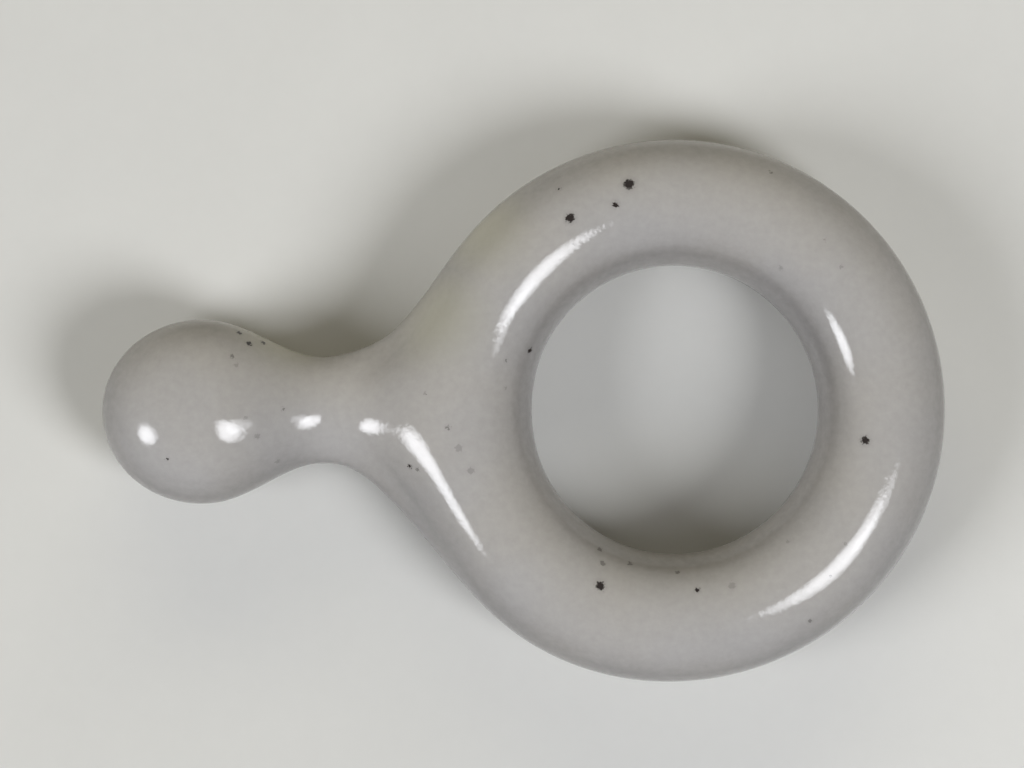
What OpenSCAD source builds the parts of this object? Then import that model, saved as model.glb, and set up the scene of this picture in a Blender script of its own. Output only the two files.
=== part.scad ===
// Chopstick rest of glazed porcelain: a ring with a short handle that ends in a knob. The chopstick tips lie
// across the neck between the two. Millimetres, +Z up, the foot stands on z = 0. The origin is on the table
// under the middle of the whole length, with the knob towards -X and the ring towards +X.
//
// The form is one smooth field: a ring, a flattened ball and a bar that flow into each other. The glaze's
// surface is the set of points where the field is zero, and the clay lies one glaze thickness inside it. Each
// point of a surface is found along a ray that starts inside the clay, so the two pieces meet point for point.

/* [Ring] */
// Outside diameter of the ring
ring_d = 38.5; // [34:0.1:44]
// Width of the ring's oval section
ring_w = 9; // [8:0.1:10.5]
// Height of that section, of which the foot cuts a little off
ring_h = 9; // [8:0.1:10]
// Extra thickness where the hand left the ring fuller, beside the root
ring_swell = 0.3; // [0:0.05:0.8]
// Direction of that fuller place, in degrees from the handle towards -Y
swell_angle = 60; // [40:1:120]
// Half the angle that it spreads over, in degrees
swell_spread = 32; // [20:1:45]

/* [Knob] */
// Diameter of the knob, seen from above
knob_d = 12.4; // [11:0.1:14]
// Height of the knob, of which the foot cuts a little off
knob_h = 8.7; // [7.5:0.1:10]
// From the ring's edge to the middle of the knob
knob_out = 15.3; // [14:0.1:18]
// How far the knob sits off the middle line, towards -Y, where the hand left it
knob_off = 0.15; // [0:0.05:0.5]
// Reach of the smooth blend between knob and neck
knob_blend = 6.9; // [5:0.1:8]
// How far the neck's bar ends short of the knob's middle
knob_bury = 2.9; // [2:0.1:4]

/* [Neck and root] */
// Width of the neck's bar at its narrowest place
neck_w = 7; // [6:0.1:8]
// Height of the neck's bar there
neck_h = 5.2; // [4.5:0.1:6]
// Gap between the neck and the table
neck_gap = 0.6; // [0.5:0.05:1.2]
// From the ring's edge to the narrowest place
neck_out = 4.6; // [4:0.1:6]
// From the ring's edge to the end of the bar, past which the blend alone makes the root
root_out = 0.2; // [0:0.1:1.5]
// How much of the root's width goes from the +Y side to the -Y side, where the hand left it fuller
root_skew = 0.45; // [0:0.05:1]
// How much higher the bar's top is at the root than at the neck
root_rise = 0.3; // [0:0.1:1.5]
// Reach of the smooth blend at the sides of the root
side_blend = 10; // [8:0.1:12]
// Reach of that blend on the crown of the root
crown_blend = 7.6; // [5:0.1:9]
// Height above the ring's middle over which the reach goes from one to the other
crown_rise = 2; // [1:0.1:3]
// Reach of both blends down at the table
table_blend = 1.5; // [1:0.1:3]

/* [Foot and glaze] */
// Width of the flat bare foot under the ring
foot_w = 2.8; // [2:0.1:3.6]
// Diameter of the flat bare foot under the knob
knob_foot_d = 2.6; // [1.6:0.1:3.6]
// Thickness of the glaze
glaze_t = 0.3; // [0.2:0.05:0.5]
// Thickness that the glaze runs out to at its edge
glaze_edge_t = 0.12; // [0.08:0.02:0.2]
// Height of the glaze's edge above the table
glaze_edge_z = 0.4; // [0.3:0.05:0.6]
// Height over which the glaze thins out towards that edge
glaze_fade = 1.2; // [0.6:0.1:2]

/* [Fineness] */
// Columns around the ring, beside the window that the handle grows out of
ring_columns = 46; // [30:1:50]
// Columns across that window
window_columns = 12; // [8:2:12]
// Rows over the ring, from the glaze's edge in the hole up to the window
crown_rows = 11; // [8:1:12]
// Rows down the window
window_rows = 8; // [6:1:9]
// Loops from the window to the neck
root_loops = 9; // [6:1:10]
// Loops from the neck to the knob's foot
knob_loops = 22; // [14:1:24]
// Halvings of each ray that find the surface on it
halvings = 18; // [14:1:22]

/* [Hidden] */

section_r = ring_w / 2;
ring_r = ring_d / 2 - section_r;
knob_r = knob_d / 2;
// How flat the oval forms are: height over width
ring_flat = ring_h / ring_w;
knob_flat = knob_h / knob_d;
// Places along the handle, from the middle of the ring towards -X
knob_at = ring_d / 2 + knob_out;
neck_at = ring_d / 2 + neck_out;
root_at = ring_d / 2 + root_out;
bar_end = knob_at - knob_bury;
middle_x = (knob_at + knob_r - ring_d / 2) / 2;
// The table cuts the clay's ovals as wide as their foot
ring_z = ring_flat * sqrt(pow(section_r - glaze_t, 2) - pow(foot_w / 2, 2));
knob_z = knob_flat * sqrt(pow(knob_r - glaze_t, 2) - pow(knob_foot_d / 2, 2));
neck_z = neck_gap + neck_h / 2;
// No ray is longer than this
ray_most = 3 * max(section_r, knob_r) / 2;

// The window's half angle around the ring, and its upper edge on the ring's section, from the outside up
window_angle = 40;
window_top = 65;
// Where the ovals come down to the glaze's edge: how far beside their middle, then at what angle below
// level on the ring and off straight down on the knob
ring_beside = sqrt(pow(section_r, 2) - pow((ring_z - glaze_edge_z) / ring_flat, 2));
knob_beside = sqrt(pow(knob_r, 2) - pow((knob_z - glaze_edge_z) / knob_flat, 2));
section_dip = atan2(ring_z - glaze_edge_z, ring_beside);
knob_dip = atan2(knob_beside, knob_z - glaze_edge_z);
window_loop = 2 * (window_columns + window_rows);
columns = ring_columns + window_columns;
rows = crown_rows + window_rows;
loops = root_loops + knob_loops;

function mix(a, b, share) = a * (1 - share) + b * share;
function unit(v) = v / norm(v);
function ease(share) = let (s = min(max(share, 0), 1)) s * s * (3 - 2 * s);

// The lesser of two fields, rounded off where they are nearly alike, so that the forms flow together
function blend(a, b, reach) =
    let (near = max(reach - abs(a - b), 0) / reach)
    min(a, b) - pow(near, 3) * (4 - near) * reach / 16;

// Each field is near the distance outside its form, and negative inside
function ring_field(p) =
    let (
        turn = atan2(-p.y, -p.x),
        swell = ring_swell / 2 * exp(-pow((turn - swell_angle) / swell_spread, 2))
    )
    norm([norm([p.x, p.y]) - ring_r - swell, (p.z - ring_z) / ring_flat]) - section_r - swell;

function knob_field(p) = norm([p.x + knob_at, p.y + knob_off, (p.z - knob_z) / knob_flat]) - knob_r;

// An oval bar, lowest and narrowest at the neck, that rises towards the root and climbs to the knob
function bar_field(p) =
    let (
        at = min(max(-p.x, root_at), bar_end),
        to_root = ease((neck_at - at) / (neck_at - root_at)),
        to_knob = pow(max(at - neck_at, 0) / (knob_at - neck_at), 2),
        y = p.y + knob_off * to_knob,
        side = y / norm([y, neck_w / 2]),
        half_w = neck_w / 2 - root_skew * side * to_root,
        half_h = neck_h / 2 + root_rise / 2 * to_root,
        mid_z = neck_z + root_rise / 2 * to_root + (knob_z - neck_z) * to_knob
    )
    norm([-p.x - at, y * half_h / half_w, p.z - mid_z]) - half_h;

// The blends reach least at the table, most at the forms' middles, and at the root less again on the crown
function knob_reach(z) = mix(table_blend, knob_blend, ease(z / knob_z));
function root_reach(z) =
    z < ring_z
    ? mix(table_blend, side_blend, ease(z / ring_z))
    : mix(side_blend, crown_blend, ease((z - ring_z) / crown_rise));
function form_field(p) =
    blend(blend(knob_field(p), bar_field(p), knob_reach(p.z)), ring_field(p), root_reach(p.z));

// How deep a surface lies under that of the full glaze: the clay's, or the glaze's own towards its edge
function depth(z, glazed) =
    glazed ? (glaze_t - glaze_edge_t) * (1 - ease((z - glaze_edge_z) / glaze_fade)) : glaze_t;

// The point on a ray [start, direction] where the surface is, found by halving
function hit(ray, glazed, near = 0, far = ray_most, left = halvings) =
    let (half = (near + far) / 2, p = ray[0] + ray[1] * half)
    left == 0 ? p
    : form_field(p) + depth(p.z, glazed) < 0 ? hit(ray, glazed, half, far, left - 1)
    : hit(ray, glazed, near, half, left - 1);
function hits(rays, glazed) = [for (ray = rays) hit(ray, glazed)];

// Directions around the ring, counted from the handle towards -Y, and up from there
function around(turn, up = 0) = [-cos(turn) * cos(up), -sin(turn) * cos(up), sin(up)];
function column_turn(c) =
    c <= window_columns
    ? window_angle * (2 * c / window_columns - 1)
    : window_angle + (360 - 2 * window_angle) * (c - window_columns) / ring_columns;
// Slant of a row's rays, from the hole's side over the crown to the outside
function row_up(r) =
    r <= crown_rows
    ? mix(180 + section_dip, window_top, r / crown_rows)
    : mix(window_top, -section_dip, (r - crown_rows) / window_rows);
// The first and last rows lie level with the glaze's edge, all others spread from the section's middle
function level_ray(turn, outward, z) = [ring_r * around(turn) + [0, 0, z], outward * around(turn)];
function ring_ray(r, c) =
    let (turn = column_turn(c))
    r == 0 ? level_ray(turn, -1, glaze_edge_z)
    : r == rows ? level_ray(turn, 1, glaze_edge_z)
    : [ring_r * around(turn) + [0, 0, ring_z], around(turn, row_up(r))];
ring_rays = [for (r = [0:rows], c = [0:columns - 1]) ring_ray(r, c)];

// The window's edge as numbers in ring_rays: along its top, down one side, back below and up the other
window_edge = [
    for (c = [0:1:window_columns - 1]) crown_rows * columns + c,
    for (r = [crown_rows:1:rows - 1]) r * columns + window_columns,
    for (c = [window_columns:-1:1]) rows * columns + c,
    for (r = [rows:-1:crown_rows + 1]) r * columns
];

// A loop's rays go round evenly from the window's first corner, so that its top lies midway above
function loop_turn(i) = 90 - 180 * window_columns / window_loop + 360 * i / window_loop;
neck_middle = [-neck_at, 0, neck_z];
knob_middle = [-knob_at, -knob_off, knob_z];
neck_under = [-neck_at, 0, neck_gap];
knob_foot_edge = knob_middle + [knob_beside, 0, glaze_edge_z - knob_z];

// From the window to the neck, the rays turn from the ring's directions to those across the handle
function root_ray(share, i) =
    let (
        ring = ring_rays[window_edge[i]],
        across = [0, cos(loop_turn(i)), sin(loop_turn(i))]
    )
    [mix(ring[0], neck_middle, share), unit(mix(ring[1], across, share))];

// From the neck to the knob's foot, each loop's rays form a cone that tips from across the handle to
// straight down. over and under are the slants of its upper and lower edge, from -X downwards: the lower
// one follows the underside, from below the neck to the glaze's edge at the knob's foot.
function knob_ray(share, i) =
    let (
        start = mix(neck_middle, knob_middle, 1 - pow(1 - share, 2)),
        aim = mix(neck_under, knob_foot_edge, share),
        over = mix(-90, 90 - knob_dip, pow(share, 1.6)),
        under = atan2(start.z - aim.z, start.x - aim.x),
        tip = (over + under) / 2,
        spread = (under - over) / 2,
        axis = [-cos(tip), 0, -sin(tip)],
        up = [-sin(tip), 0, cos(tip)]
    )
    [
        start,
        axis * cos(spread) + ([0, cos(loop_turn(i)), 0] + up * sin(loop_turn(i))) * sin(spread)
    ];
function knob_level_ray(i, z) =
    [[-knob_at, -knob_off, z], [-sin(loop_turn(i)), cos(loop_turn(i)), 0]];

handle_rays = [
    for (j = [1:loops], i = [0:window_loop - 1])
        j <= root_loops ? root_ray(j / root_loops, i)
        : j < loops ? knob_ray((j - root_loops) / knob_loops, i)
        : knob_level_ray(i, glaze_edge_z)
];
skin_rays = concat(ring_rays, handle_rays);
foot_rays = concat(
    [for (c = [0:columns - 1]) level_ray(column_turn(c), -1, 0)],
    [for (c = [0:columns - 1]) level_ray(column_turn(c), 1, 0)],
    [for (i = [0:window_loop - 1]) knob_level_ray(i, 0)]
);

// Closed lines of point numbers that the faces hang between
function ring_line(r) = [for (c = [0:columns - 1]) r * columns + c];
function loop_line(j) =
    j == 0 ? window_edge
    : [for (i = [0:window_loop - 1]) len(ring_rays) + (j - 1) * window_loop + i];
function moved(line, by) = [for (n = line) n + by];
function flipped(faces) = [for (f = faces) [f[2], f[1], f[0]]];

// Two triangles for each step between two lines, all the way round or for some steps from the first
function band(line, next, first = 0, steps = undef) =
    let (n = len(line), last = first + (steps == undef ? n : steps) - 1)
    [
        for (i = [first:1:last])
            let (k = (i + 1) % n)
            each [[line[i], line[k], next[k]], [line[i], next[k], next[i]]]
    ];
crown_faces = [for (r = [0:crown_rows - 1]) each band(ring_line(r), ring_line(r + 1))];
flank_faces = [
    for (r = [crown_rows:rows - 1])
        each band(ring_line(r), ring_line(r + 1), window_columns, ring_columns)
];
handle_faces = [for (j = [0:loops - 1]) each band(loop_line(j), loop_line(j + 1))];
skin_faces = concat(crown_faces, flank_faces, handle_faces);

// The clay: one piece right through, with its bare edge and its flat foot below the glaze's edge
module porcelain_body() {
    points = concat(hits(skin_rays, false), hits(foot_rays, false), [[-knob_at, -knob_off, 0]]);
    first = len(skin_rays);
    hole_foot = moved(ring_line(0), first);
    outer_foot = moved(ring_line(1), first);
    knob_foot = [for (i = [0:window_loop - 1]) first + 2 * columns + i];
    middle = [for (i = knob_foot) len(points) - 1];
    faces = concat(
        skin_faces,
        band(hole_foot, ring_line(0)),
        band(ring_line(rows), outer_foot),
        band(outer_foot, hole_foot),
        band(loop_line(loops), knob_foot),
        [for (i = [0:window_loop - 1]) [knob_foot[i], knob_foot[(i + 1) % window_loop], middle[i]]]
    );
    color("Linen")
        translate([middle_x, 0, 0])
            polyhedron(points, faces, convexity = 6);
}

// The clear coat: its own surface, the clay's surface turned inwards, and the edges between the two
module glaze_coat() {
    outer = hits(skin_rays, true);
    points = concat(outer, hits(skin_rays, false));
    first = len(outer);
    faces = concat(
        skin_faces,
        flipped([for (f = skin_faces) f + [first, first, first]]),
        band(moved(ring_line(0), first), ring_line(0)),
        band(ring_line(rows), moved(ring_line(rows), first)),
        band(loop_line(loops), moved(loop_line(loops), first))
    );
    color("Gainsboro")
        translate([middle_x, 0, 0])
            polyhedron(points, faces, convexity = 8);
}

porcelain_body();
glaze_coat();
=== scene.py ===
"""A glazed porcelain chopstick rest, dressed for the render around its packed solids.

Everything is in metres in the frame of the packed model: the table is z = 0, the ring lies towards +X and the
knob towards -X. Run as a script, it builds the two pieces, the table, the lamps and the camera.
"""

import math

import bpy
import numpy as np
from mathutils import Matrix, Vector


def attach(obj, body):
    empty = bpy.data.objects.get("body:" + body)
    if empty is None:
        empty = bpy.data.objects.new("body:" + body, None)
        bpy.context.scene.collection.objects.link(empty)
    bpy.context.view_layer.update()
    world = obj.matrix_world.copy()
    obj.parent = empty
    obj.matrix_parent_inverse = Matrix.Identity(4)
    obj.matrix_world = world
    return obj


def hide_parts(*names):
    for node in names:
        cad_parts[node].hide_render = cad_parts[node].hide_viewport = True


bl_info = {
    "name": "Chopstick rest",
    "version": (1, 0, 0),
    "blender": (4, 5, 0),
    "location": "3D View > Sidebar > Chopstick rest",
    "description": "Builds a glazed porcelain chopstick rest with its table, lamps and camera",
    "category": "Add Mesh",
}

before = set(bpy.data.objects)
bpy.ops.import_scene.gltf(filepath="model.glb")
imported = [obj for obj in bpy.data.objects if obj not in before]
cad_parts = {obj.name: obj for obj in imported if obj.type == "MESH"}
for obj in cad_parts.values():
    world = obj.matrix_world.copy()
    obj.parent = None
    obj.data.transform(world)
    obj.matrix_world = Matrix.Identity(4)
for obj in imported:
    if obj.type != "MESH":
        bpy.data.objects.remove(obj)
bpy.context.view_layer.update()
MM = 0.001

# Iron specks in the glaze: x and y from the ring's middle, and radius, in millimetres. The surface is found
# above each place, so that they all lie in the glaze.
DARK_SPECKS = (
    (-3.4, 15.8, 0.38),
    (-7.5, 13.4, 0.32),
    (-4.35, 14.35, 0.22),
    (-8.3, 15.5, 0.12),
    (-10.3, 4.2, 0.18),
    (-30.85, 5.45, 0.2),
    (-30.15, 4.7, 0.22),
    (-29.2, 4.75, 0.17),
    (-35.7, -3.4, 0.13),
    (-18.75, -3.95, 0.16),
    (13.1, -2.1, 0.29),
    (-5.4, -12.25, 0.32),
    (1.4, -12.55, 0.18),
)
MILD_SPECKS = (
    (-27.65, 0.05, 0.13),
    (-18.2, -4.15, 0.14),
    (-17.6, 1.15, 0.1),
    (-16.05, -1.2, 0.18),
    (-5.4, -9.8, 0.2),
    (-5.2, -10.7, 0.2),
    (-3.25, -10.8, 0.16),
    (0.1, -11.4, 0.16),
    (9.3, -14.8, 0.16),
    (10.7, -11.6, 0.1),
    (6.6, 16.7, 0.14),
    (-31.2, 3.75, 0.16),
    (-12, 3.5, 0.13),
)
FAINT_SPECKS = (
    (-7.25, 11.55, 0.12),
    (-12, 1.55, 0.14),
    (-30.9, 3.15, 0.17),
    (-29.4, -1.85, 0.2),
    (-28.1, -3.65, 0.2),
    (-30.2, -0.55, 0.16),
    (-15.3, -2.65, 0.26),
    (-14.45, -4.2, 0.26),
    (3.8, -12.25, 0.26),
    (7.25, 9.95, 0.14),
    (10.25, 11.9, 0.14),
    (11.4, 10, 0.14),
    (7.75, -9.2, 0.14),
    (11.7, -9.3, 0.14),
)
# Each kind of speck, and how much of the glaze's colour it takes
SPECKS = ((DARK_SPECKS, 1.0), (MILD_SPECKS, 0.5), (FAINT_SPECKS, 0.24))
# Straw-coloured patches mixed into the glaze's colour on its +Y sides, in the same measure as the specks
STRAW_PATCHES = ((-16.7, 6.6, 4.2), (-13.5, 12.5, 4.0), (-28.5, 5.0, 4.0))


def length(name, description, default_mm):
    """A length setting, given in millimetres and kept in metres."""
    return bpy.props.FloatProperty(
        name=name, description=description, default=default_mm * MM, min=0, precision=5, unit="LENGTH"
    )


def count(name, description, default):
    """A whole number of columns, rows or loops."""
    return bpy.props.IntProperty(name=name, description=description, default=default, min=4)


def tint(name, description, default):
    """A colour setting in linear red, green and blue."""
    return bpy.props.FloatVectorProperty(
        name=name, description=description, default=default, min=0, max=1, size=3, subtype="COLOR"
    )


def amount(name, description, default):
    """A plain number."""
    return bpy.props.FloatProperty(name=name, description=description, default=default, min=0)


class RestForm(bpy.types.PropertyGroup):
    """The sizes of the rest, as in the part's own source."""

    ring_d: length("Ring diameter", "Outside diameter of the ring", 38.5)
    ring_w: length("Ring section width", "Width of the ring's oval section", 9)
    ring_h: length("Ring section height", "Height of the ring's section", 9)
    ring_swell: length("Ring swell", "Extra thickness where the ring is fuller beside the root", 0.3)
    knob_d: length("Knob diameter", "Diameter of the knob, seen from above", 12.4)
    knob_h: length("Knob height", "Height of the knob", 8.7)
    knob_out: length("Knob distance", "From the ring's edge to the middle of the knob", 15.3)
    knob_off: length("Knob offset", "How far the knob sits off the middle line, towards -Y", 0.15)
    knob_blend: length("Knob blend", "Reach of the blend between knob and neck", 6.9)
    knob_bury: length("Knob bury", "How far the neck's bar ends short of the knob's middle", 2.9)
    neck_w: length("Neck width", "Width of the neck's bar at its narrowest place", 7)
    neck_h: length("Neck height", "Height of the neck's bar there", 5.2)
    neck_gap: length("Neck gap", "Gap between the neck and the table", 0.6)
    neck_out: length("Neck distance", "From the ring's edge to the narrowest place", 4.6)
    root_out: length("Root distance", "From the ring's edge to the end of the bar", 0.2)
    root_skew: length("Root skew", "How much of the root's width goes to the -Y side", 0.45)
    root_rise: length("Root rise", "How much higher the bar's top is at the root", 0.3)
    side_blend: length("Side blend", "Reach of the blend at the sides of the root", 10)
    crown_blend: length("Crown blend", "Reach of the blend on the crown of the root", 7.6)
    crown_rise: length("Crown rise", "Height above the ring's middle over which the reach changes", 2)
    table_blend: length("Table blend", "Reach of both blends down at the table", 1.5)
    foot_w: length("Foot width", "Width of the bare foot under the ring", 2.8)
    knob_foot_d: length("Knob foot", "Diameter of the bare foot under the knob", 2.6)
    glaze_t: length("Glaze thickness", "Thickness of the glaze", 0.3)
    glaze_edge_t: length("Glaze edge", "Thickness that the glaze runs out to at its edge", 0.12)
    glaze_edge_z: length("Glaze edge height", "Height of the glaze's edge above the table", 0.4)
    glaze_fade: length("Glaze fade", "Height over which the glaze thins out", 1.2)
    ring_columns: count("Ring columns", "Columns around the ring beside the window", 200)
    window_columns: count("Window columns", "Columns across the window, an even number", 44)
    crown_rows: count("Crown rows", "Rows over the ring up to the window", 56)
    window_rows: count("Window rows", "Rows down the window", 30)
    root_loops: count("Root loops", "Loops from the window to the neck", 32)
    knob_loops: count("Knob loops", "Loops from the neck to the knob's foot", 84)


class RestLooks(bpy.types.PropertyGroup):
    """The colours of the rest."""

    glaze: tint("Glaze", "Porcelain seen through the clear glaze", (0.390, 0.376, 0.366))
    # Straw colour mixed into the glaze in patches on its +Y sides
    stain: tint("Straw", "Straw patches in the glaze", (0.36, 0.35, 0.28))
    speck: tint("Iron speck", "Iron specks in the glaze", (0.012, 0.006, 0.004))
    clay: tint("Clay", "Bare fired clay of the foot", (0.50, 0.43, 0.32))
    toast: tint("Toasted clay", "Clay flashed tan beside the glaze's edge", (0.40, 0.24, 0.11))


class RestStage(bpy.types.PropertyGroup):
    """The table and its light."""

    table: tint("Table", "Pale table top", (0.64, 0.638, 0.622))
    backdrop: tint("Backdrop", "What camera and glaze see beyond the table", (0.5, 0.5, 0.49))
    light_colour: tint("Window light", "Colour of the two windows near the camera", (0.98, 0.99, 1.0))
    far_colour: tint("Far light", "Colour of the window beyond the rest", (1.0, 0.93, 0.70))
    right_share: amount("Right window", "Share of the table's light from the lower right", 0.475)
    left_share: amount("Left window", "Share of the table's light from the lower left", 0.355)
    far_share: amount("Far window", "Share of the table's light from beyond the rest", 0.15)
    right_gleam: amount("Right gleam", "Radiance of the right window as the glaze mirrors it", 12.0)
    side_gleam: amount(
        "Side gleam", "Radiance of the lit wall beside the right window as the glaze mirrors it", 4.5
    )
    left_gleam: amount("Left gleam", "Radiance of the left window as the glaze mirrors it", 12.5)
    sky: tint("Sky", "Soft light from all round", (0.042, 0.040, 0.036))


# Form


def radius(*parts):
    """The square root of the sum of the squares."""
    return np.sqrt(sum(part * part for part in parts))


def mixed(a, b, share):
    """a at share 0, b at share 1 and in proportion between."""
    return a * (1 - share) + b * share


def eased(share):
    """Three times the square less twice the cube, held between 0 and 1."""
    s = np.clip(share, 0, 1)
    return s * s * (3 - 2 * s)


def flowed(a, b, reach):
    """The lesser of two fields, less a bump where they differ by less than reach, so that the forms flow.

    With n the share of reach by which they are nearer, the bump is n cubed, times 4 less n, times a
    sixteenth of reach.
    """
    near = np.maximum(reach - np.abs(a - b), 0) / reach
    return np.minimum(a, b) - near**3 * (4 - near) * reach / 16


def around(turn, up=0.0):
    """Directions around the ring, turned from the handle towards -Y and tilted up, all in radians."""
    turn, up = np.broadcast_arrays(turn, up)
    return np.stack([-np.cos(turn) * np.cos(up), -np.sin(turn) * np.cos(up), np.sin(up)], axis=-1)


class Form:
    """The rest as a field that is negative inside, and rays from inside on which its surface is found."""

    # Where the ring is fuller beside the root, and how far round the ring that spreads
    SWELL_TURN, SWELL_SPREAD = math.radians(60), math.radians(32)
    # The window in the ring's grid, out of which the handle grows: half its width, and the tilt of its top
    WINDOW_TURN, WINDOW_TOP = math.radians(40), math.radians(65)
    # Length of the rays in half widths of the widest form, and how often they are halved
    RAY_REACH, HALVINGS = 1.5, 26
    # The rays over the knob tip with this power of their share of the way
    KNOB_PACE = 1.6
    # Distance from a point to those beside it that give its slope
    SLOPE_STEP = 0.01 * MM

    def __init__(self, sizes):
        for name in RestForm.__annotations__:
            setattr(self, name, getattr(sizes, name))
        self.section_r, self.ring_flat = self.ring_w / 2, self.ring_h / self.ring_w
        self.ring_r = self.ring_d / 2 - self.section_r
        self.knob_r, self.knob_flat = self.knob_d / 2, self.knob_h / self.knob_d
        self.knob_at = self.ring_d / 2 + self.knob_out
        self.neck_at = self.ring_d / 2 + self.neck_out
        self.root_at = self.ring_d / 2 + self.root_out
        self.bar_end = self.knob_at - self.knob_bury
        self.middle_x = (self.knob_at + self.knob_r - self.ring_d / 2) / 2
        self.ring_z = self.standing(self.section_r, self.ring_flat, self.foot_w / 2)
        self.knob_z = self.standing(self.knob_r, self.knob_flat, self.knob_foot_d / 2)
        self.neck_z = self.neck_gap + self.neck_h / 2
        self.longest = self.RAY_REACH * max(self.section_r, self.knob_r)
        self.ring_beside = self.beside(self.section_r, self.ring_flat, self.ring_z)
        self.knob_beside = self.beside(self.knob_r, self.knob_flat, self.knob_z)
        self.rows, self.columns = self.crown_rows + self.window_rows, self.window_columns + self.ring_columns
        self.loops = self.root_loops + self.knob_loops
        self.loop_size = 2 * (self.window_columns + self.window_rows)

    def standing(self, half_width, flat, foot):
        """Height of an oval's middle when the table cuts the clay in it as wide as its foot."""
        return flat * math.sqrt((half_width - self.glaze_t) ** 2 - foot**2)

    def beside(self, half_width, flat, middle_z):
        """How far beside its middle an oval comes down to the glaze's edge."""
        return math.sqrt(half_width**2 - ((middle_z - self.glaze_edge_z) / flat) ** 2)

    def field(self, points):
        """Ring, knob and bar blended into one field; x is measured from the ring's middle.

        Each form's own field is the distance from its middle, or from its middle line, less its half width,
        with heights stretched so that its oval section counts as round.
        """
        x, y, z = points[..., 0], points[..., 1], points[..., 2]
        from_swell = (np.arctan2(-y, -x) - self.SWELL_TURN) / self.SWELL_SPREAD
        swell = self.ring_swell / 2 * np.exp(-(from_swell**2))
        ring_side, ring_up = radius(x, y) - self.ring_r - swell, (z - self.ring_z) / self.ring_flat
        ring = radius(ring_side, ring_up) - self.section_r - swell
        knob = radius(x + self.knob_at, y + self.knob_off, (z - self.knob_z) / self.knob_flat) - self.knob_r
        knob_reach = mixed(self.table_blend, self.knob_blend, eased(z / self.knob_z))
        root_reach = np.where(
            z < self.ring_z,
            mixed(self.table_blend, self.side_blend, eased(z / self.ring_z)),
            mixed(self.side_blend, self.crown_blend, eased((z - self.ring_z) / self.crown_rise)),
        )
        return flowed(flowed(knob, self.bar(x, y, z), knob_reach), ring, root_reach)

    def bar(self, x, y, z):
        """An oval bar: its half height and the place of its middle change from the neck to root and knob."""
        at = np.clip(-x, self.root_at, self.bar_end)
        to_root = eased((self.neck_at - at) / (self.neck_at - self.root_at))
        to_knob = (np.maximum(at - self.neck_at, 0) / (self.knob_at - self.neck_at)) ** 2
        y = y + self.knob_off * to_knob
        half_w = self.neck_w / 2 - self.root_skew * y / radius(y, self.neck_w / 2) * to_root
        half_h = self.neck_h / 2 + self.root_rise / 2 * to_root
        mid_z = self.neck_z + self.root_rise / 2 * to_root + (self.knob_z - self.neck_z) * to_knob
        return radius(-x - at, y * half_h / half_w, z - mid_z) - half_h

    def steepness(self, points):
        """1 less the upward share of the surface's slope: 0 where level, 1 where upright or facing down."""
        steps = self.SLOPE_STEP * np.eye(3)
        slopes = [self.field(points + step) - self.field(points - step) for step in steps]
        return 1 - np.clip(slopes[2] / radius(*slopes), 0, 1)

    def depth(self, z, glazed):
        """How deep a surface lies under the full glaze: the clay's, or the glaze's own where it thins out."""
        if not glazed:
            return self.glaze_t
        return (self.glaze_t - self.glaze_edge_t) * (1 - eased((z - self.glaze_edge_z) / self.glaze_fade))

    def hits(self, rays, glazed):
        """Where the surface is on each ray, by halving the stretch between a point inside and one outside."""
        starts, ways = rays
        near, far = np.zeros(len(starts)), np.full(len(starts), self.longest)
        for _ in range(self.HALVINGS):
            half = (near + far) / 2
            points = starts + ways * half[:, None]
            inside = self.field(points) + self.depth(points[:, 2], glazed) < 0
            near, far = np.where(inside, half, near), np.where(inside, far, half)
        return starts + ways * ((near + far) / 2)[:, None]

    def on_top(self, x, y):
        """Height of the glaze above places given from the ring's middle, by halving down from above."""
        above, below = np.full(x.shape, self.ring_h), np.full(x.shape, self.neck_z)
        for _ in range(self.HALVINGS):
            half = (above + below) / 2
            inside = self.field(np.stack([x, y, half], axis=-1)) < 0
            below, above = np.where(inside, half, below), np.where(inside, above, half)
        return below

    # Rays

    def turns(self):
        """Turn of each column: evenly across the window, then evenly round the rest of the ring."""
        edge = self.WINDOW_TURN
        window = np.linspace(-edge, edge, self.window_columns, endpoint=False)
        beside = np.linspace(edge, 2 * math.pi - edge, self.ring_columns, endpoint=False)
        return np.concatenate([window, beside])

    def level_rays(self, turns, outward, z):
        """Level rays at one height, from the section's middle line outwards or into the hole."""
        starts = self.ring_r * around(turns)
        starts[:, 2] = z
        return starts, outward * around(turns)

    def ring_rays(self):
        """Rays spread from the section's middle, row by row from the hole over the crown to the outside."""
        dip = math.atan2(self.ring_z - self.glaze_edge_z, self.ring_beside)
        ups = np.concatenate(
            [
                np.linspace(math.pi + dip, self.WINDOW_TOP, self.crown_rows, endpoint=False),
                np.linspace(self.WINDOW_TOP, -dip, self.window_rows + 1),
            ]
        )
        turns = self.turns()
        starts = np.tile(self.ring_r * around(turns) + [0, 0, self.ring_z], (len(ups), 1, 1))
        ways = around(turns[None, :], ups[:, None])
        starts[0], ways[0] = self.level_rays(turns, -1, self.glaze_edge_z)
        starts[-1], ways[-1] = self.level_rays(turns, 1, self.glaze_edge_z)
        return starts.reshape(-1, 3), ways.reshape(-1, 3)

    def loop_turns(self):
        """Even turns round a loop of the handle, from the window's first corner, in radians."""
        corner = math.pi / 2 - math.pi * self.window_columns / self.loop_size
        return corner + 2 * math.pi * np.arange(self.loop_size) / self.loop_size

    def window_edge(self):
        """Point numbers along the window's edge: its top, down one side, back below and up the other."""
        right, down = np.arange(self.window_columns), np.arange(self.window_rows)
        return np.concatenate(
            [
                self.crown_rows * self.columns + right,
                (self.crown_rows + down) * self.columns + self.window_columns,
                self.rows * self.columns + self.window_columns - right,
                (self.rows - down) * self.columns,
            ]
        )

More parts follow.
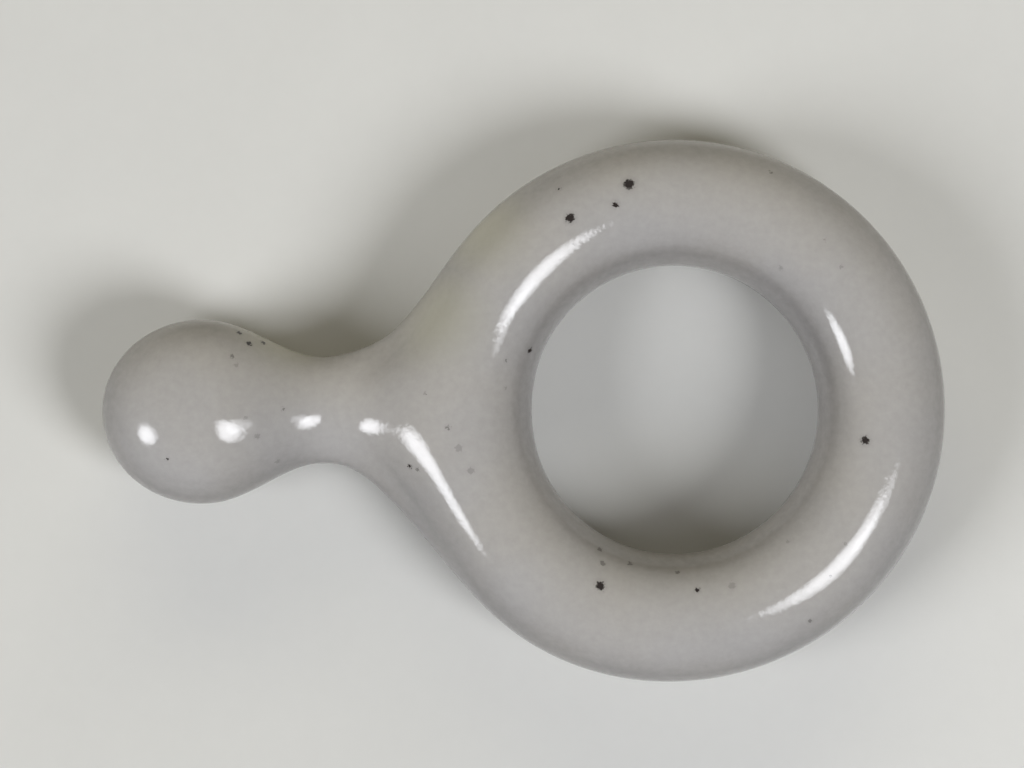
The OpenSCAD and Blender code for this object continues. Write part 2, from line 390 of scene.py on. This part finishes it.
    def root_rays(self, ring_rays):
        """Rays that turn from those along the window's edge to those across the handle at the neck."""
        edge = self.window_edge()
        turns = self.loop_turns()
        share = (np.arange(1, self.root_loops + 1) / self.root_loops)[:, None, None]
        across = np.stack([np.zeros_like(turns), np.cos(turns), np.sin(turns)], axis=-1)
        starts = mixed(ring_rays[0][edge], np.array([-self.neck_at, 0, self.neck_z]), share)
        ways = mixed(ring_rays[1][edge], across, share)
        ways /= np.linalg.norm(ways, axis=-1, keepdims=True)
        return starts.reshape(-1, 3), ways.reshape(-1, 3)

    def knob_rays(self):
        """Cones of rays that tip from across the handle at the neck to straight down at the knob's foot."""
        turns = self.loop_turns()
        share = (np.arange(1, self.knob_loops) / self.knob_loops)[:, None]
        dip = math.atan2(self.knob_beside, self.knob_z - self.glaze_edge_z)
        neck, under_neck = np.array([[-self.neck_at, 0, self.neck_z], [-self.neck_at, 0, self.neck_gap]])
        knob = np.array([-self.knob_at, -self.knob_off, self.knob_z])
        foot = knob + [self.knob_beside, 0, self.glaze_edge_z - self.knob_z]
        starts = mixed(neck, knob, 1 - (1 - share) ** 2)
        aim = mixed(under_neck, foot, share)
        over = mixed(-math.pi / 2, math.pi / 2 - dip, share**self.KNOB_PACE)
        under = np.arctan2(starts[:, 2:] - aim[:, 2:], starts[:, :1] - aim[:, :1])
        tip, spread = ((over + under) / 2)[..., None], ((under - over) / 2)[..., None]
        axis = np.concatenate([-np.cos(tip), np.zeros_like(tip), -np.sin(tip)], axis=-1)
        up = np.concatenate([-np.sin(tip), np.zeros_like(tip), np.cos(tip)], axis=-1)
        side = np.array([0, 1, 0]) * np.cos(turns)[None, :, None]
        ways = axis * np.cos(spread) + (side + up * np.sin(turns)[None, :, None]) * np.sin(spread)
        starts = np.broadcast_to(starts[:, None, :], ways.shape)
        last = self.knob_level_rays(self.glaze_edge_z)
        return (
            np.concatenate([starts.reshape(-1, 3), last[0]]),
            np.concatenate([ways.reshape(-1, 3), last[1]]),
        )

    def knob_level_rays(self, z):
        """Level rays outwards from the knob's axis at one height."""
        turns = self.loop_turns()
        starts = np.tile([-self.knob_at, -self.knob_off, z], (len(turns), 1))
        return starts, np.stack([-np.sin(turns), np.cos(turns), np.zeros_like(turns)], axis=-1)

    def skin_rays(self):
        """All rays of the skin: the ring's rows, then the handle's loops."""
        ring = self.ring_rays()
        parts = (ring, self.root_rays(ring), self.knob_rays())
        return tuple(np.concatenate(lists) for lists in zip(*parts))

    # Faces

    def ring_line(self, row):
        """Point numbers of one row round the ring."""
        return row * self.columns + np.arange(self.columns)

    def loop_line(self, loop):
        """Point numbers of one loop of the handle; the first is the window's edge."""
        if loop == 0:
            return self.window_edge()
        first = (self.rows + 1) * self.columns
        return first + (loop - 1) * self.loop_size + np.arange(self.loop_size)

    def skin_edges(self):
        """Point numbers of the skin's three ends: the lines in the hole, outside the ring and at the knob."""
        return self.ring_line(0), self.ring_line(self.rows), self.loop_line(self.loops)

    def skin_faces(self):
        """Squares between neighbouring rows and loops; the window has none of the ring's own."""
        whole, beside_window = slice(None), slice(self.window_columns, None)
        parts = [whole] * self.crown_rows + [beside_window] * self.window_rows
        bands = [band(self.ring_line(row), self.ring_line(row + 1), part) for row, part in enumerate(parts)]
        bands += [band(self.loop_line(loop), self.loop_line(loop + 1)) for loop in range(self.loops)]
        return np.concatenate(bands)

    def placed(self, points):
        """Points given from the ring's middle, moved to where the middle of the whole length is x = 0."""
        return points + np.array([self.middle_x, 0, 0])


def band(line, following, part=slice(None)):
    """Squares between two closed lines of point numbers, turned to face outwards."""
    ahead, ahead_following = np.roll(line, -1), np.roll(following, -1)
    return np.stack([line, following, ahead_following, ahead], axis=-1)[part]


# Materials


class Wire:
    """An output socket that takes part in Python sums: each operator adds its Math node."""

    def __init__(self, nodes, socket):
        self.nodes, self.socket = nodes, socket

    def __add__(self, other):
        return self.nodes.maths("ADD", self, other)

    def __sub__(self, other):
        return self.nodes.maths("SUBTRACT", self, other)

    def __rsub__(self, other):
        return self.nodes.maths("SUBTRACT", other, self)

    def __mul__(self, other):
        return self.nodes.maths("MULTIPLY", self, other)

    __radd__ = __add__
    __rmul__ = __mul__


class Nodes:
    """The emptied node tree of a material or a world."""

    def __init__(self, owner):
        owner.use_nodes = True
        self.tree = owner.node_tree
        self.tree.nodes.clear()

    def node(self, kind, settings=None, sockets=None, output=0):
        """Adds a node, sets its settings first, then fills its sockets with values or links."""
        made = self.tree.nodes.new(kind)
        for key, value in (settings or {}).items():
            setattr(made, key, value)
        for key, value in (sockets or {}).items():
            if isinstance(value, Wire):
                self.tree.links.new(value.socket, made.inputs[key])
            else:
                made.inputs[key].default_value = value
        return Wire(self, made.outputs[output]) if made.outputs else None

    def maths(self, operation, first, second):
        """A Math node on two numbers or wires."""
        return self.node("ShaderNodeMath", {"operation": operation}, {0: first, 1: second})

    def vectors(self, operation, *inputs, output=0):
        """A Vector Math node on points, colours or wires."""
        return self.node("ShaderNodeVectorMath", {"operation": operation}, dict(enumerate(inputs)), output)


class Finish(Nodes):
    """A material, with the node patterns that this object's finishes are made of."""

    BUMP_STRENGTH = 0.5

    def __init__(self, name):
        self.material = bpy.data.materials.new(name)
        super().__init__(self.material)
        coordinates = self.node("ShaderNodeTexCoord", output="Object")
        # Patterns are laid out in millimetres
        self.place = self.node("ShaderNodeMapping", sockets={"Vector": coordinates, "Scale": (1 / MM,) * 3})

    def height(self):
        """Height above the table in millimetres."""
        return self.node("ShaderNodeSeparateXYZ", sockets={0: self.place}, output=2)

    def noise(self, size_mm, detail, seed, roughness=0.5):
        """Smooth noise between 0 and 1 with features of that size; seed moves the pattern."""
        moved = self.vectors("ADD", self.place, (seed, 2 * seed, 3 * seed))
        return self.node(
            "ShaderNodeTexNoise",
            sockets={"Vector": moved, "Scale": 1 / size_mm, "Detail": detail, "Roughness": roughness},
        )

    def step(self, value, low, high):
        """An eased step from 0 where the value is low to 1 where it is high; low may be the larger."""
        return self.node(
            "ShaderNodeMapRange",
            {"interpolation_type": "SMOOTHSTEP"},
            {"Value": value, "From Min": low, "From Max": high},
        )

    def blend(self, factor, first, second):
        """The first colour at factor 0 and the second at 1."""
        rgba = [(*c, 1.0) if isinstance(c, tuple) else c for c in (first, second)]
        return self.node(
            "ShaderNodeMix", {"data_type": "RGBA"}, {"Factor": factor, 6: rgba[0], 7: rgba[1]}, output=2
        )

    def shaded(self, colour, shade):
        """A colour made lighter or darker by a factor that varies."""
        vector = self.node("ShaderNodeCombineXYZ", sockets={0: shade, 1: shade, 2: shade})
        return self.vectors("MULTIPLY", colour, vector)

    def nearest(self, spots, place):
        """Distance to the nearest of some round spots, in radii of that spot."""
        least = None
        for x, y, z, r in spots:
            away = self.vectors("DISTANCE", place, (x, y, z), output="Value") * (1 / r)
            least = away if least is None else self.maths("MINIMUM", least, away)
        return least

    def bump(self, pattern, height):
        """A normal that tips as if the pattern rose by that height, in metres."""
        return self.node(
            "ShaderNodeBump", sockets={"Height": pattern, "Strength": self.BUMP_STRENGTH, "Distance": height}
        )

    def surface(self, **sockets):
        """The principled shader; each name is its socket's, with spaces as underscores."""
        named = {key.replace("_", " "): value for key, value in sockets.items()}
        shader = self.node("ShaderNodeBsdfPrincipled", sockets=named)
        self.node("ShaderNodeOutputMaterial", sockets={"Surface": shader})
        return self.material


def in_glaze(form, spots):
    """Round spots given from the ring's middle, with the glaze's height there, in millimetres of the part."""
    x, y, r = np.array(spots, dtype=float).T
    z = form.on_top(x * MM, y * MM) / MM
    return np.stack([x + form.middle_x / MM, y, z, r], axis=-1).tolist()


# Where the colour of a speck's core, and of its halo, begins and where it is full, in radii of the speck
CORE_EDGE, HALO_EDGE = (1.2, 0.7), (2.2, 0.9)
# The halo's strength as a share of the core's
HALO_SHARE = 0.12
# Specks are drawn out of round by about 0.1 mm, by noise of so many waves per millimetre and this range
WOBBLE_WAVES, WOBBLE_RANGE = 6.5, 0.5
# Low on the sides: size of the cells and radius of the specks in them, and how far below the section's
# middle they are at full strength, in millimetres
LOW_CELL, LOW_SPECK_R, LOW_FADE = 3.2, 0.26, 0.6


def speck_mask(finish, form):
    """How much of the glaze's colour the iron specks take, each with a soft edge and a faint halo."""
    waves = {"Vector": finish.place, "Scale": WOBBLE_WAVES, "Detail": 2.0}
    wobble = finish.node("ShaderNodeTexNoise", sockets=waves, output="Color")
    place = finish.vectors("MULTIPLY_ADD", wobble, (WOBBLE_RANGE,) * 3, finish.place)
    place = finish.vectors("SUBTRACT", place, (WOBBLE_RANGE / 2,) * 3)
    # Low on the sides, which the photograph doesn't show, specks lie wherever a cell's middle meets the glaze
    cells = {"Vector": place, "Scale": 1 / LOW_CELL}
    away = finish.node("ShaderNodeTexVoronoi", sockets=cells, output="Distance") * (LOW_CELL / LOW_SPECK_R)
    middle = form.ring_z / MM
    low = finish.step(finish.height(), middle, middle - LOW_FADE)
    mask = low * finish.noise(4, detail=1, seed=71) * finish.step(away, *CORE_EDGE)
    for specks, strength in SPECKS:
        near = finish.nearest(in_glaze(form, specks), place)
        core = strength * finish.step(near, *CORE_EDGE)
        halo = strength * HALO_SHARE * finish.step(near, *HALO_EDGE)
        mask = finish.maths("MAXIMUM", finish.maths("MAXIMUM", core, halo), mask)
    return mask


# The glaze's cool and warm tinges as shares of its colour, and where in their pattern one turns into the
# other
COOL_TINGE, WARM_TINGE, TINGE_EDGE = (0.994, 0.996, 1.008), (1.006, 1.0, 0.992), (0.35, 0.65)
# How much clouds and fine grain change the glaze's shade, and how much painted shade darkens its steep sides
CLOUD_DEPTH, GRAIN_DEPTH, SIDE_SHADE_DEPTH = 0.10, 0.2, 0.38
# The steepness at which the painted shade on the sides begins, and that at which it is full
SIDE_SHADE_EDGE = (0.0, 0.52)
# Where a straw patch begins and where it is full, in its radii, and its strength there
STRAW_EDGE, STRAW_DEPTH = (1.25, 0.1), 0.6
# Share of fine ripples beside broad ones, and the height of the broad ones in metres
FINE_RIPPLE, RIPPLE_HEIGHT = 0.6, 0.02 * MM
# The glaze's least roughness, what the unevenness of its gloss adds to that, and its index of refraction
GLAZE_ROUGHNESS, ROUGHNESS_RANGE, GLAZE_IOR = 0.05, 0.03, 1.55


def glaze_finish(looks, form):
    """Clear gloss over pale grey porcelain: clouds, painted shade on steep sides, straw patches, iron specks
    and ripples.
    """
    finish = Finish("clear_glaze")
    cool, warm = (tuple(np.multiply(tuple(looks.glaze), tinge)) for tinge in (COOL_TINGE, WARM_TINGE))
    tinge = finish.step(finish.noise(7, detail=1, seed=23), *TINGE_EDGE)
    cloud = finish.noise(5.5, detail=2, seed=3) - 0.5
    grain = finish.noise(0.55, detail=3, seed=11, roughness=0.6) - 0.5
    # Painted shade: the glaze's colour is darkened on steep sides, standing in for the shade that falls there
    steep = finish.node("ShaderNodeAttribute", {"attribute_name": "steep"}, output="Fac")
    painted_side_shade = finish.step(steep, *SIDE_SHADE_EDGE)
    shade = 1 + CLOUD_DEPTH * cloud + GRAIN_DEPTH * grain - SIDE_SHADE_DEPTH * painted_side_shade
    colour = finish.shaded(finish.blend(tinge, cool, warm), shade)
    straw = finish.step(finish.nearest(in_glaze(form, STRAW_PATCHES), finish.place), *STRAW_EDGE)
    colour = finish.blend(straw * STRAW_DEPTH, colour, tuple(looks.stain))
    ripple = finish.noise(1.6, detail=2, seed=41) + FINE_RIPPLE * finish.noise(0.34, detail=1, seed=47)
    return finish.surface(
        Base_Color=finish.blend(speck_mask(finish, form), colour, tuple(looks.speck)),
        Roughness=finish.noise(2.2, detail=2, seed=61) * ROUGHNESS_RANGE + GLAZE_ROUGHNESS,
        IOR=GLAZE_IOR,
        Normal=finish.bump(ripple, RIPPLE_HEIGHT),
    )


# Strength of the toasting, the heights in millimetres between which it sets in, and how far they stray
TOAST_DEPTH, TOAST_EDGE, TOAST_STRAY = 0.75, (0.16, 0.42), 0.25
# The clay's least shade and roughness, how much grit and patches add to them, and the grit's height in metres
CLAY_SHADE, CLAY_ROUGHNESS = (0.86, 0.28), (0.78, 0.16)
GRIT_HEIGHT = 0.04 * MM


def clay_finish(looks):
    """Bare fired clay: warm white with fine grit, toasted tan just under the glaze's edge."""
    finish = Finish("bare_clay")
    grit = finish.noise(0.16, detail=3, seed=5, roughness=0.7)
    patch = finish.noise(1.3, detail=2, seed=9)
    toasted = finish.step(finish.height() + TOAST_STRAY * (patch - 0.5), *TOAST_EDGE)
    colour = finish.blend(TOAST_DEPTH * toasted, tuple(looks.clay), tuple(looks.toast))
    return finish.surface(
        Base_Color=finish.shaded(colour, CLAY_SHADE[0] + CLAY_SHADE[1] * grit),
        Roughness=CLAY_ROUGHNESS[0] + CLAY_ROUGHNESS[1] * patch,
        Normal=finish.bump(grit, GRIT_HEIGHT),
    )


# The table's least shade, what broad and fine patches add to it, and its roughness
TABLE_SHADE, BROAD_PATCHES, FINE_PATCHES, TABLE_ROUGHNESS = 0.96, 0.05, 0.03, 0.42


def table_finish(stage):
    """A pale, softly glossy table top with hardly visible unevenness."""
    finish = Finish("table_top")
    broad, fine = finish.noise(11, detail=4, seed=2), finish.noise(1.2, detail=2, seed=7)
    shade = TABLE_SHADE + BROAD_PATCHES * broad + FINE_PATCHES * fine
    return finish.surface(Base_Color=finish.shaded(tuple(stage.table), shade), Roughness=TABLE_ROUGHNESS)


# Pieces


def add_mesh(name, points, squares, triangles=(), flat_from=None):
    """A linked mesh object at the origin; faces from number flat_from on are flat, all others smooth."""
    mesh = bpy.data.meshes.new(name)
    triangles = np.asarray(triangles, dtype=np.int32).reshape(-1, 3)
    sizes = np.concatenate([np.full(len(squares), 4), np.full(len(triangles), 3)]).astype(np.int32)
    corners = np.concatenate([squares.reshape(-1), triangles.reshape(-1)]).astype(np.int32)
    mesh.vertices.add(len(points))
    mesh.vertices.foreach_set("co", points.astype(np.float32).ravel())
    mesh.loops.add(len(corners))
    mesh.loops.foreach_set("vertex_index", corners)
    mesh.polygons.add(len(sizes))
    mesh.polygons.foreach_set("loop_start", np.concatenate([[0], np.cumsum(sizes)[:-1]]).astype(np.int32))
    smooth = np.ones(len(sizes), dtype=bool)
    if flat_from is not None:
        smooth[flat_from:] = False
    mesh.polygons.foreach_set("use_smooth", smooth)
    mesh.update(calc_edges=True)
    if mesh.validate():
        raise RuntimeError(f"{name} has faulty faces")
    made = bpy.data.objects.new(name, mesh)
    bpy.context.scene.collection.objects.link(made)
    return made


def add_piece(name, node, slot, material, *mesh_parts, **mesh_options):
    """A piece of the rest, shown in place of the packed solid named by node."""
    piece = add_mesh(name, *mesh_parts, **mesh_options)
    piece.data.materials.append(material)
    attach(piece, "root")
    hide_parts(node)
    return piece


class REST_OT_clay_body(bpy.types.Operator):
    """Build the clay core with its bare flat foot"""

    bl_idname = "rest.clay_body"
    bl_label = "Clay body"

    def execute(self, context):
        form = Form(context.scene.rest_form)
        turns, skin = form.turns(), form.skin_rays()
        feet = [form.level_rays(turns, -1, 0.0), form.level_rays(turns, 1, 0.0), form.knob_level_rays(0.0)]
        rays = tuple(np.concatenate(lists) for lists in zip(skin, *feet))
        points = np.concatenate([form.hits(rays, False), [[-form.knob_at, -form.knob_off, 0]]])
        hole_foot = len(skin[0]) + np.arange(form.columns)
        outer_foot = hole_foot + form.columns
        knob_foot = len(skin[0]) + 2 * form.columns + np.arange(form.loop_size)
        in_hole, outside, at_knob = form.skin_edges()
        sides = [band(hole_foot, in_hole), band(outside, outer_foot), band(at_knob, knob_foot)]
        round_faces = np.concatenate([form.skin_faces(), *sides])
        middle = np.full(form.loop_size, len(points) - 1)
        add_piece(
            "porcelain_core",
            "porcelain_body",
            "porcelain",
            clay_finish(context.scene.rest_looks),
            form.placed(points),
            np.concatenate([round_faces, band(outer_foot, hole_foot)]),
            np.stack([knob_foot, middle, np.roll(knob_foot, -1)], axis=-1),
            flat_from=len(round_faces),
        )
        return {"FINISHED"}


class REST_OT_glaze_coat(bpy.types.Operator):
    """Build the glaze as a thin closed shell over the clay"""

    bl_idname = "rest.glaze_coat"
    bl_label = "Glaze coat"

    def execute(self, context):
        form = Form(context.scene.rest_form)
        rays = form.skin_rays()
        outer, inner = form.hits(rays, True), form.hits(rays, False)
        faces, first = form.skin_faces(), len(outer)
        in_hole, outside, at_knob = form.skin_edges()
        edges = [
            band(first + in_hole, in_hole),
            band(outside, first + outside),
            band(at_knob, first + at_knob),
        ]
        skin = add_piece(
            "glaze_skin",
            "glaze_coat",
            "glaze",
            glaze_finish(context.scene.rest_looks, form),
            form.placed(np.concatenate([outer, inner])),
            np.concatenate([faces, first + faces[:, ::-1], *edges]),
            flat_from=2 * len(faces),
        )
        # The finish paints shade on the glaze where it is steep
        steep = skin.data.attributes.new("steep", "FLOAT", "POINT")
        steep.data.foreach_set("value", np.tile(form.steepness(outer), 2).astype(np.float32))
        return {"FINISHED"}


# Stage

# Radii of the table's rings of points in metres, and how many points each has
TABLE_RADII, TABLE_POINTS = (0.02, 0.06, 0.2, 0.6, 2.0, 6.0), 96
# Each lamp as seen from the rest: its tilt from straight up, split along X and Y, the half widths of its oval
# face and that face's turn, all in degrees. The windows light the rest. The gleams are what the glaze shows
# of the two windows near the camera, and of the lit wall beside the right one.
RIGHT_WINDOW = {"tilt": (42.0, -28.5), "half": (12.5, 13.0), "turn": 0.0}
LEFT_WINDOW = {"tilt": (-55.0, -20.5), "half": (14.5, 15.0), "turn": 0.0}
FAR_WINDOW = {"tilt": (-5.0, 69.0), "half": (34.0, 13.0), "turn": 0.0}
RIGHT_GLEAM = {"tilt": (23.2, -18.8), "half": (13.8, 8.8), "turn": -40.0}
SIDE_GLEAM = {"tilt": (31.5, -14.5), "half": (8.0, 6.5), "turn": 12.0}
LEFT_GLEAM = {"tilt": (-48.4, -22.4), "half": (9.4, 9.2), "turn": 10.0}
# A gleam fades outwards: it is made of equally bright ovals whose half widths are these shares of its own,
# each by this share of the lamps' distance behind the last
GLEAM_SHARES = (0.55, 0.75, 0.9, 1.0, 1.1)
GLEAM_STEP = 0.02
GLEAM_COLOUR = (0.95, 0.96, 1.0)
LAMP_DISTANCE = 1.3
# The camera looks straight down; its place is given in metres from the table under the ring's middle, its
# lens and sensor in millimetres
CAMERA_FROM_RING = (-0.01157, 0.00183, 0.210)
CAMERA_LENS = 101.6
CAMERA_SENSOR = 36.0
CAMERA_CLIP = (0.01, 30)


def add_table(stage):
    """The table top: rings of points around the origin, flat at z = 0."""
    turns = np.linspace(0, 2 * math.pi, TABLE_POINTS, endpoint=False)
    circle = np.stack([np.cos(turns), np.sin(turns), np.zeros_like(turns)], axis=-1)
    rings = (np.array(TABLE_RADII)[:, None, None] * circle).reshape(-1, 3)
    lines = np.arange(len(rings)).reshape(len(TABLE_RADII), TABLE_POINTS)
    squares = np.concatenate([band(line, following) for line, following in zip(lines, lines[1:])])
    fan = np.stack([lines[0], np.roll(lines[0], -1), np.full(TABLE_POINTS, len(rings))], axis=-1)
    table = add_mesh("table", np.concatenate([rings, [[0, 0, 0]]]), squares, fan)
    table.data.materials.append(table_finish(stage))


def add_lamp(name, tilt, half, turn, radiance, colour, distance=LAMP_DISTANCE):
    """An oval area lamp that faces the rest; its power is radiance times pi times its area."""
    heading, lean = math.atan2(tilt[1], tilt[0]), math.radians(math.hypot(*tilt))
    ahead, up = Vector((math.cos(heading), math.sin(heading), 0)), Vector((0, 0, 1))
    sideways = Vector((-math.sin(heading), math.cos(heading), 0))
    back = math.sin(lean) * ahead + math.cos(lean) * up
    outwards = math.cos(lean) * ahead - math.sin(lean) * up
    own_turn = math.radians(turn) - heading
    long_way = outwards * math.cos(own_turn) + sideways * math.sin(own_turn)
    data = bpy.data.lights.new(name, "AREA")
    data.shape = "ELLIPSE"
    data.size, data.size_y = (2 * distance * math.tan(math.radians(h)) for h in half)
    data.energy = radiance * math.pi * math.pi / 4 * data.size * data.size_y
    data.color = colour
    lamp = bpy.data.objects.new(name, data)
    rotation = Matrix((long_way, back.cross(long_way), back)).transposed().to_4x4()
    lamp.matrix_world = Matrix.Translation(back * distance) @ rotation
    lamp.visible_camera = False
    bpy.context.scene.collection.objects.link(lamp)
    return lamp


def add_window(name, share, colour, tilt, half, turn):
    """A lamp that gives the table that share of its light, and isn't mirrored in the glaze."""
    solid_angle = math.pi * math.radians(half[0]) * math.radians(half[1])
    radiance = share * math.pi / (solid_angle * math.cos(math.radians(math.hypot(*tilt))))
    lamp = add_lamp(name, tilt, half, turn, radiance, colour)
    lamp.visible_glossy = False


def add_gleam(name, radiance, tilt, half, turn):
    """Ovals one behind the other that only the glaze mirrors, so that the middle is brightest."""
    for number, share in enumerate(GLEAM_SHARES):
        sizes = [h * share for h in half]
        distance = LAMP_DISTANCE * (1 + GLEAM_STEP * number)
        each = radiance / len(GLEAM_SHARES)
        lamp = add_lamp(f"{name}_{number + 1}", tilt, sizes, turn, each, GLEAM_COLOUR, distance)
        lamp.visible_diffuse = False


def add_sky(scene, stage):
    """A weak even light; camera, glaze and anything seen through see the backdrop's colour instead."""
    world = bpy.data.worlds.new("sky")
    nodes = Nodes(world)
    backdrop = nodes.node("ShaderNodeBackground", sockets={"Color": (*stage.backdrop, 1.0)})
    seen = nodes.node("ShaderNodeBackground", sockets={"Color": (*stage.sky, 1.0)})
    for kind in ("Is Glossy Ray", "Is Transmission Ray", "Is Camera Ray"):
        ray = nodes.node("ShaderNodeLightPath", output=kind)
        seen = nodes.node("ShaderNodeMixShader", sockets={0: ray, 1: seen, 2: backdrop})
    nodes.node("ShaderNodeOutputWorld", sockets={"Surface": seen})
    scene.world = world


def add_camera(scene):
    """The camera, straight above the rest."""
    data = bpy.data.cameras.new("camera")
    data.lens, data.sensor_width = CAMERA_LENS, CAMERA_SENSOR
    data.clip_start, data.clip_end = CAMERA_CLIP
    camera = bpy.data.objects.new("camera", data)
    camera.location = Vector(CAMERA_FROM_RING) + Vector((Form(scene.rest_form).middle_x, 0, 0))
    scene.collection.objects.link(camera)
    scene.camera = camera


class REST_OT_stage(bpy.types.Operator):
    """Set the table, the lamps, the soft sky and the camera"""

    bl_idname = "rest.stage"
    bl_label = "Table, light and camera"

    def execute(self, context):
        scene, stage = context.scene, context.scene.rest_stage
        add_table(stage)
        add_window("window_right", stage.right_share, stage.light_colour, **RIGHT_WINDOW)
        add_window("window_left", stage.left_share, stage.light_colour, **LEFT_WINDOW)
        add_window("window_far", stage.far_share, stage.far_colour, **FAR_WINDOW)
        add_gleam("gleam_right", stage.right_gleam, **RIGHT_GLEAM)
        add_gleam("gleam_side", stage.side_gleam, **SIDE_GLEAM)
        add_gleam("gleam_left", stage.left_gleam, **LEFT_GLEAM)
        add_sky(scene, stage)
        add_camera(scene)
        scene.view_settings.view_transform = "Standard"
        return {"FINISHED"}


class REST_PT_sidebar(bpy.types.Panel):
    """The rest's pieces and settings"""

    bl_label = "Chopstick rest"
    bl_idname = "REST_PT_sidebar"
    bl_space_type = "VIEW_3D"
    bl_region_type = "UI"
    bl_category = "Chopstick rest"

    def draw(self, context):
        for operator in OPERATORS:
            self.layout.operator(operator.bl_idname)
        for group in GROUPS:
            box = self.layout.box()
            box.label(text=group.__doc__)
            for name in group.__annotations__:
                box.prop(getattr(context.scene, GROUPS[group]), name)


GROUPS = {RestForm: "rest_form", RestLooks: "rest_looks", RestStage: "rest_stage"}
OPERATORS = (REST_OT_clay_body, REST_OT_glaze_coat, REST_OT_stage)


def register():
    """Adds the settings, the operators and the panel."""
    for group, place in GROUPS.items():
        bpy.utils.register_class(group)
        setattr(bpy.types.Scene, place, bpy.props.PointerProperty(type=group))
    for made in (*OPERATORS, REST_PT_sidebar):
        bpy.utils.register_class(made)


def unregister():
    """Takes them out again."""
    for made in (REST_PT_sidebar, *reversed(OPERATORS)):
        bpy.utils.unregister_class(made)
    for group, place in GROUPS.items():
        delattr(bpy.types.Scene, place)
        bpy.utils.unregister_class(group)


def main():
    """Builds everything."""
    register()
    for run in (bpy.ops.rest.clay_body, bpy.ops.rest.glaze_coat, bpy.ops.rest.stage):
        run()


if __name__ == "__main__":
    main()
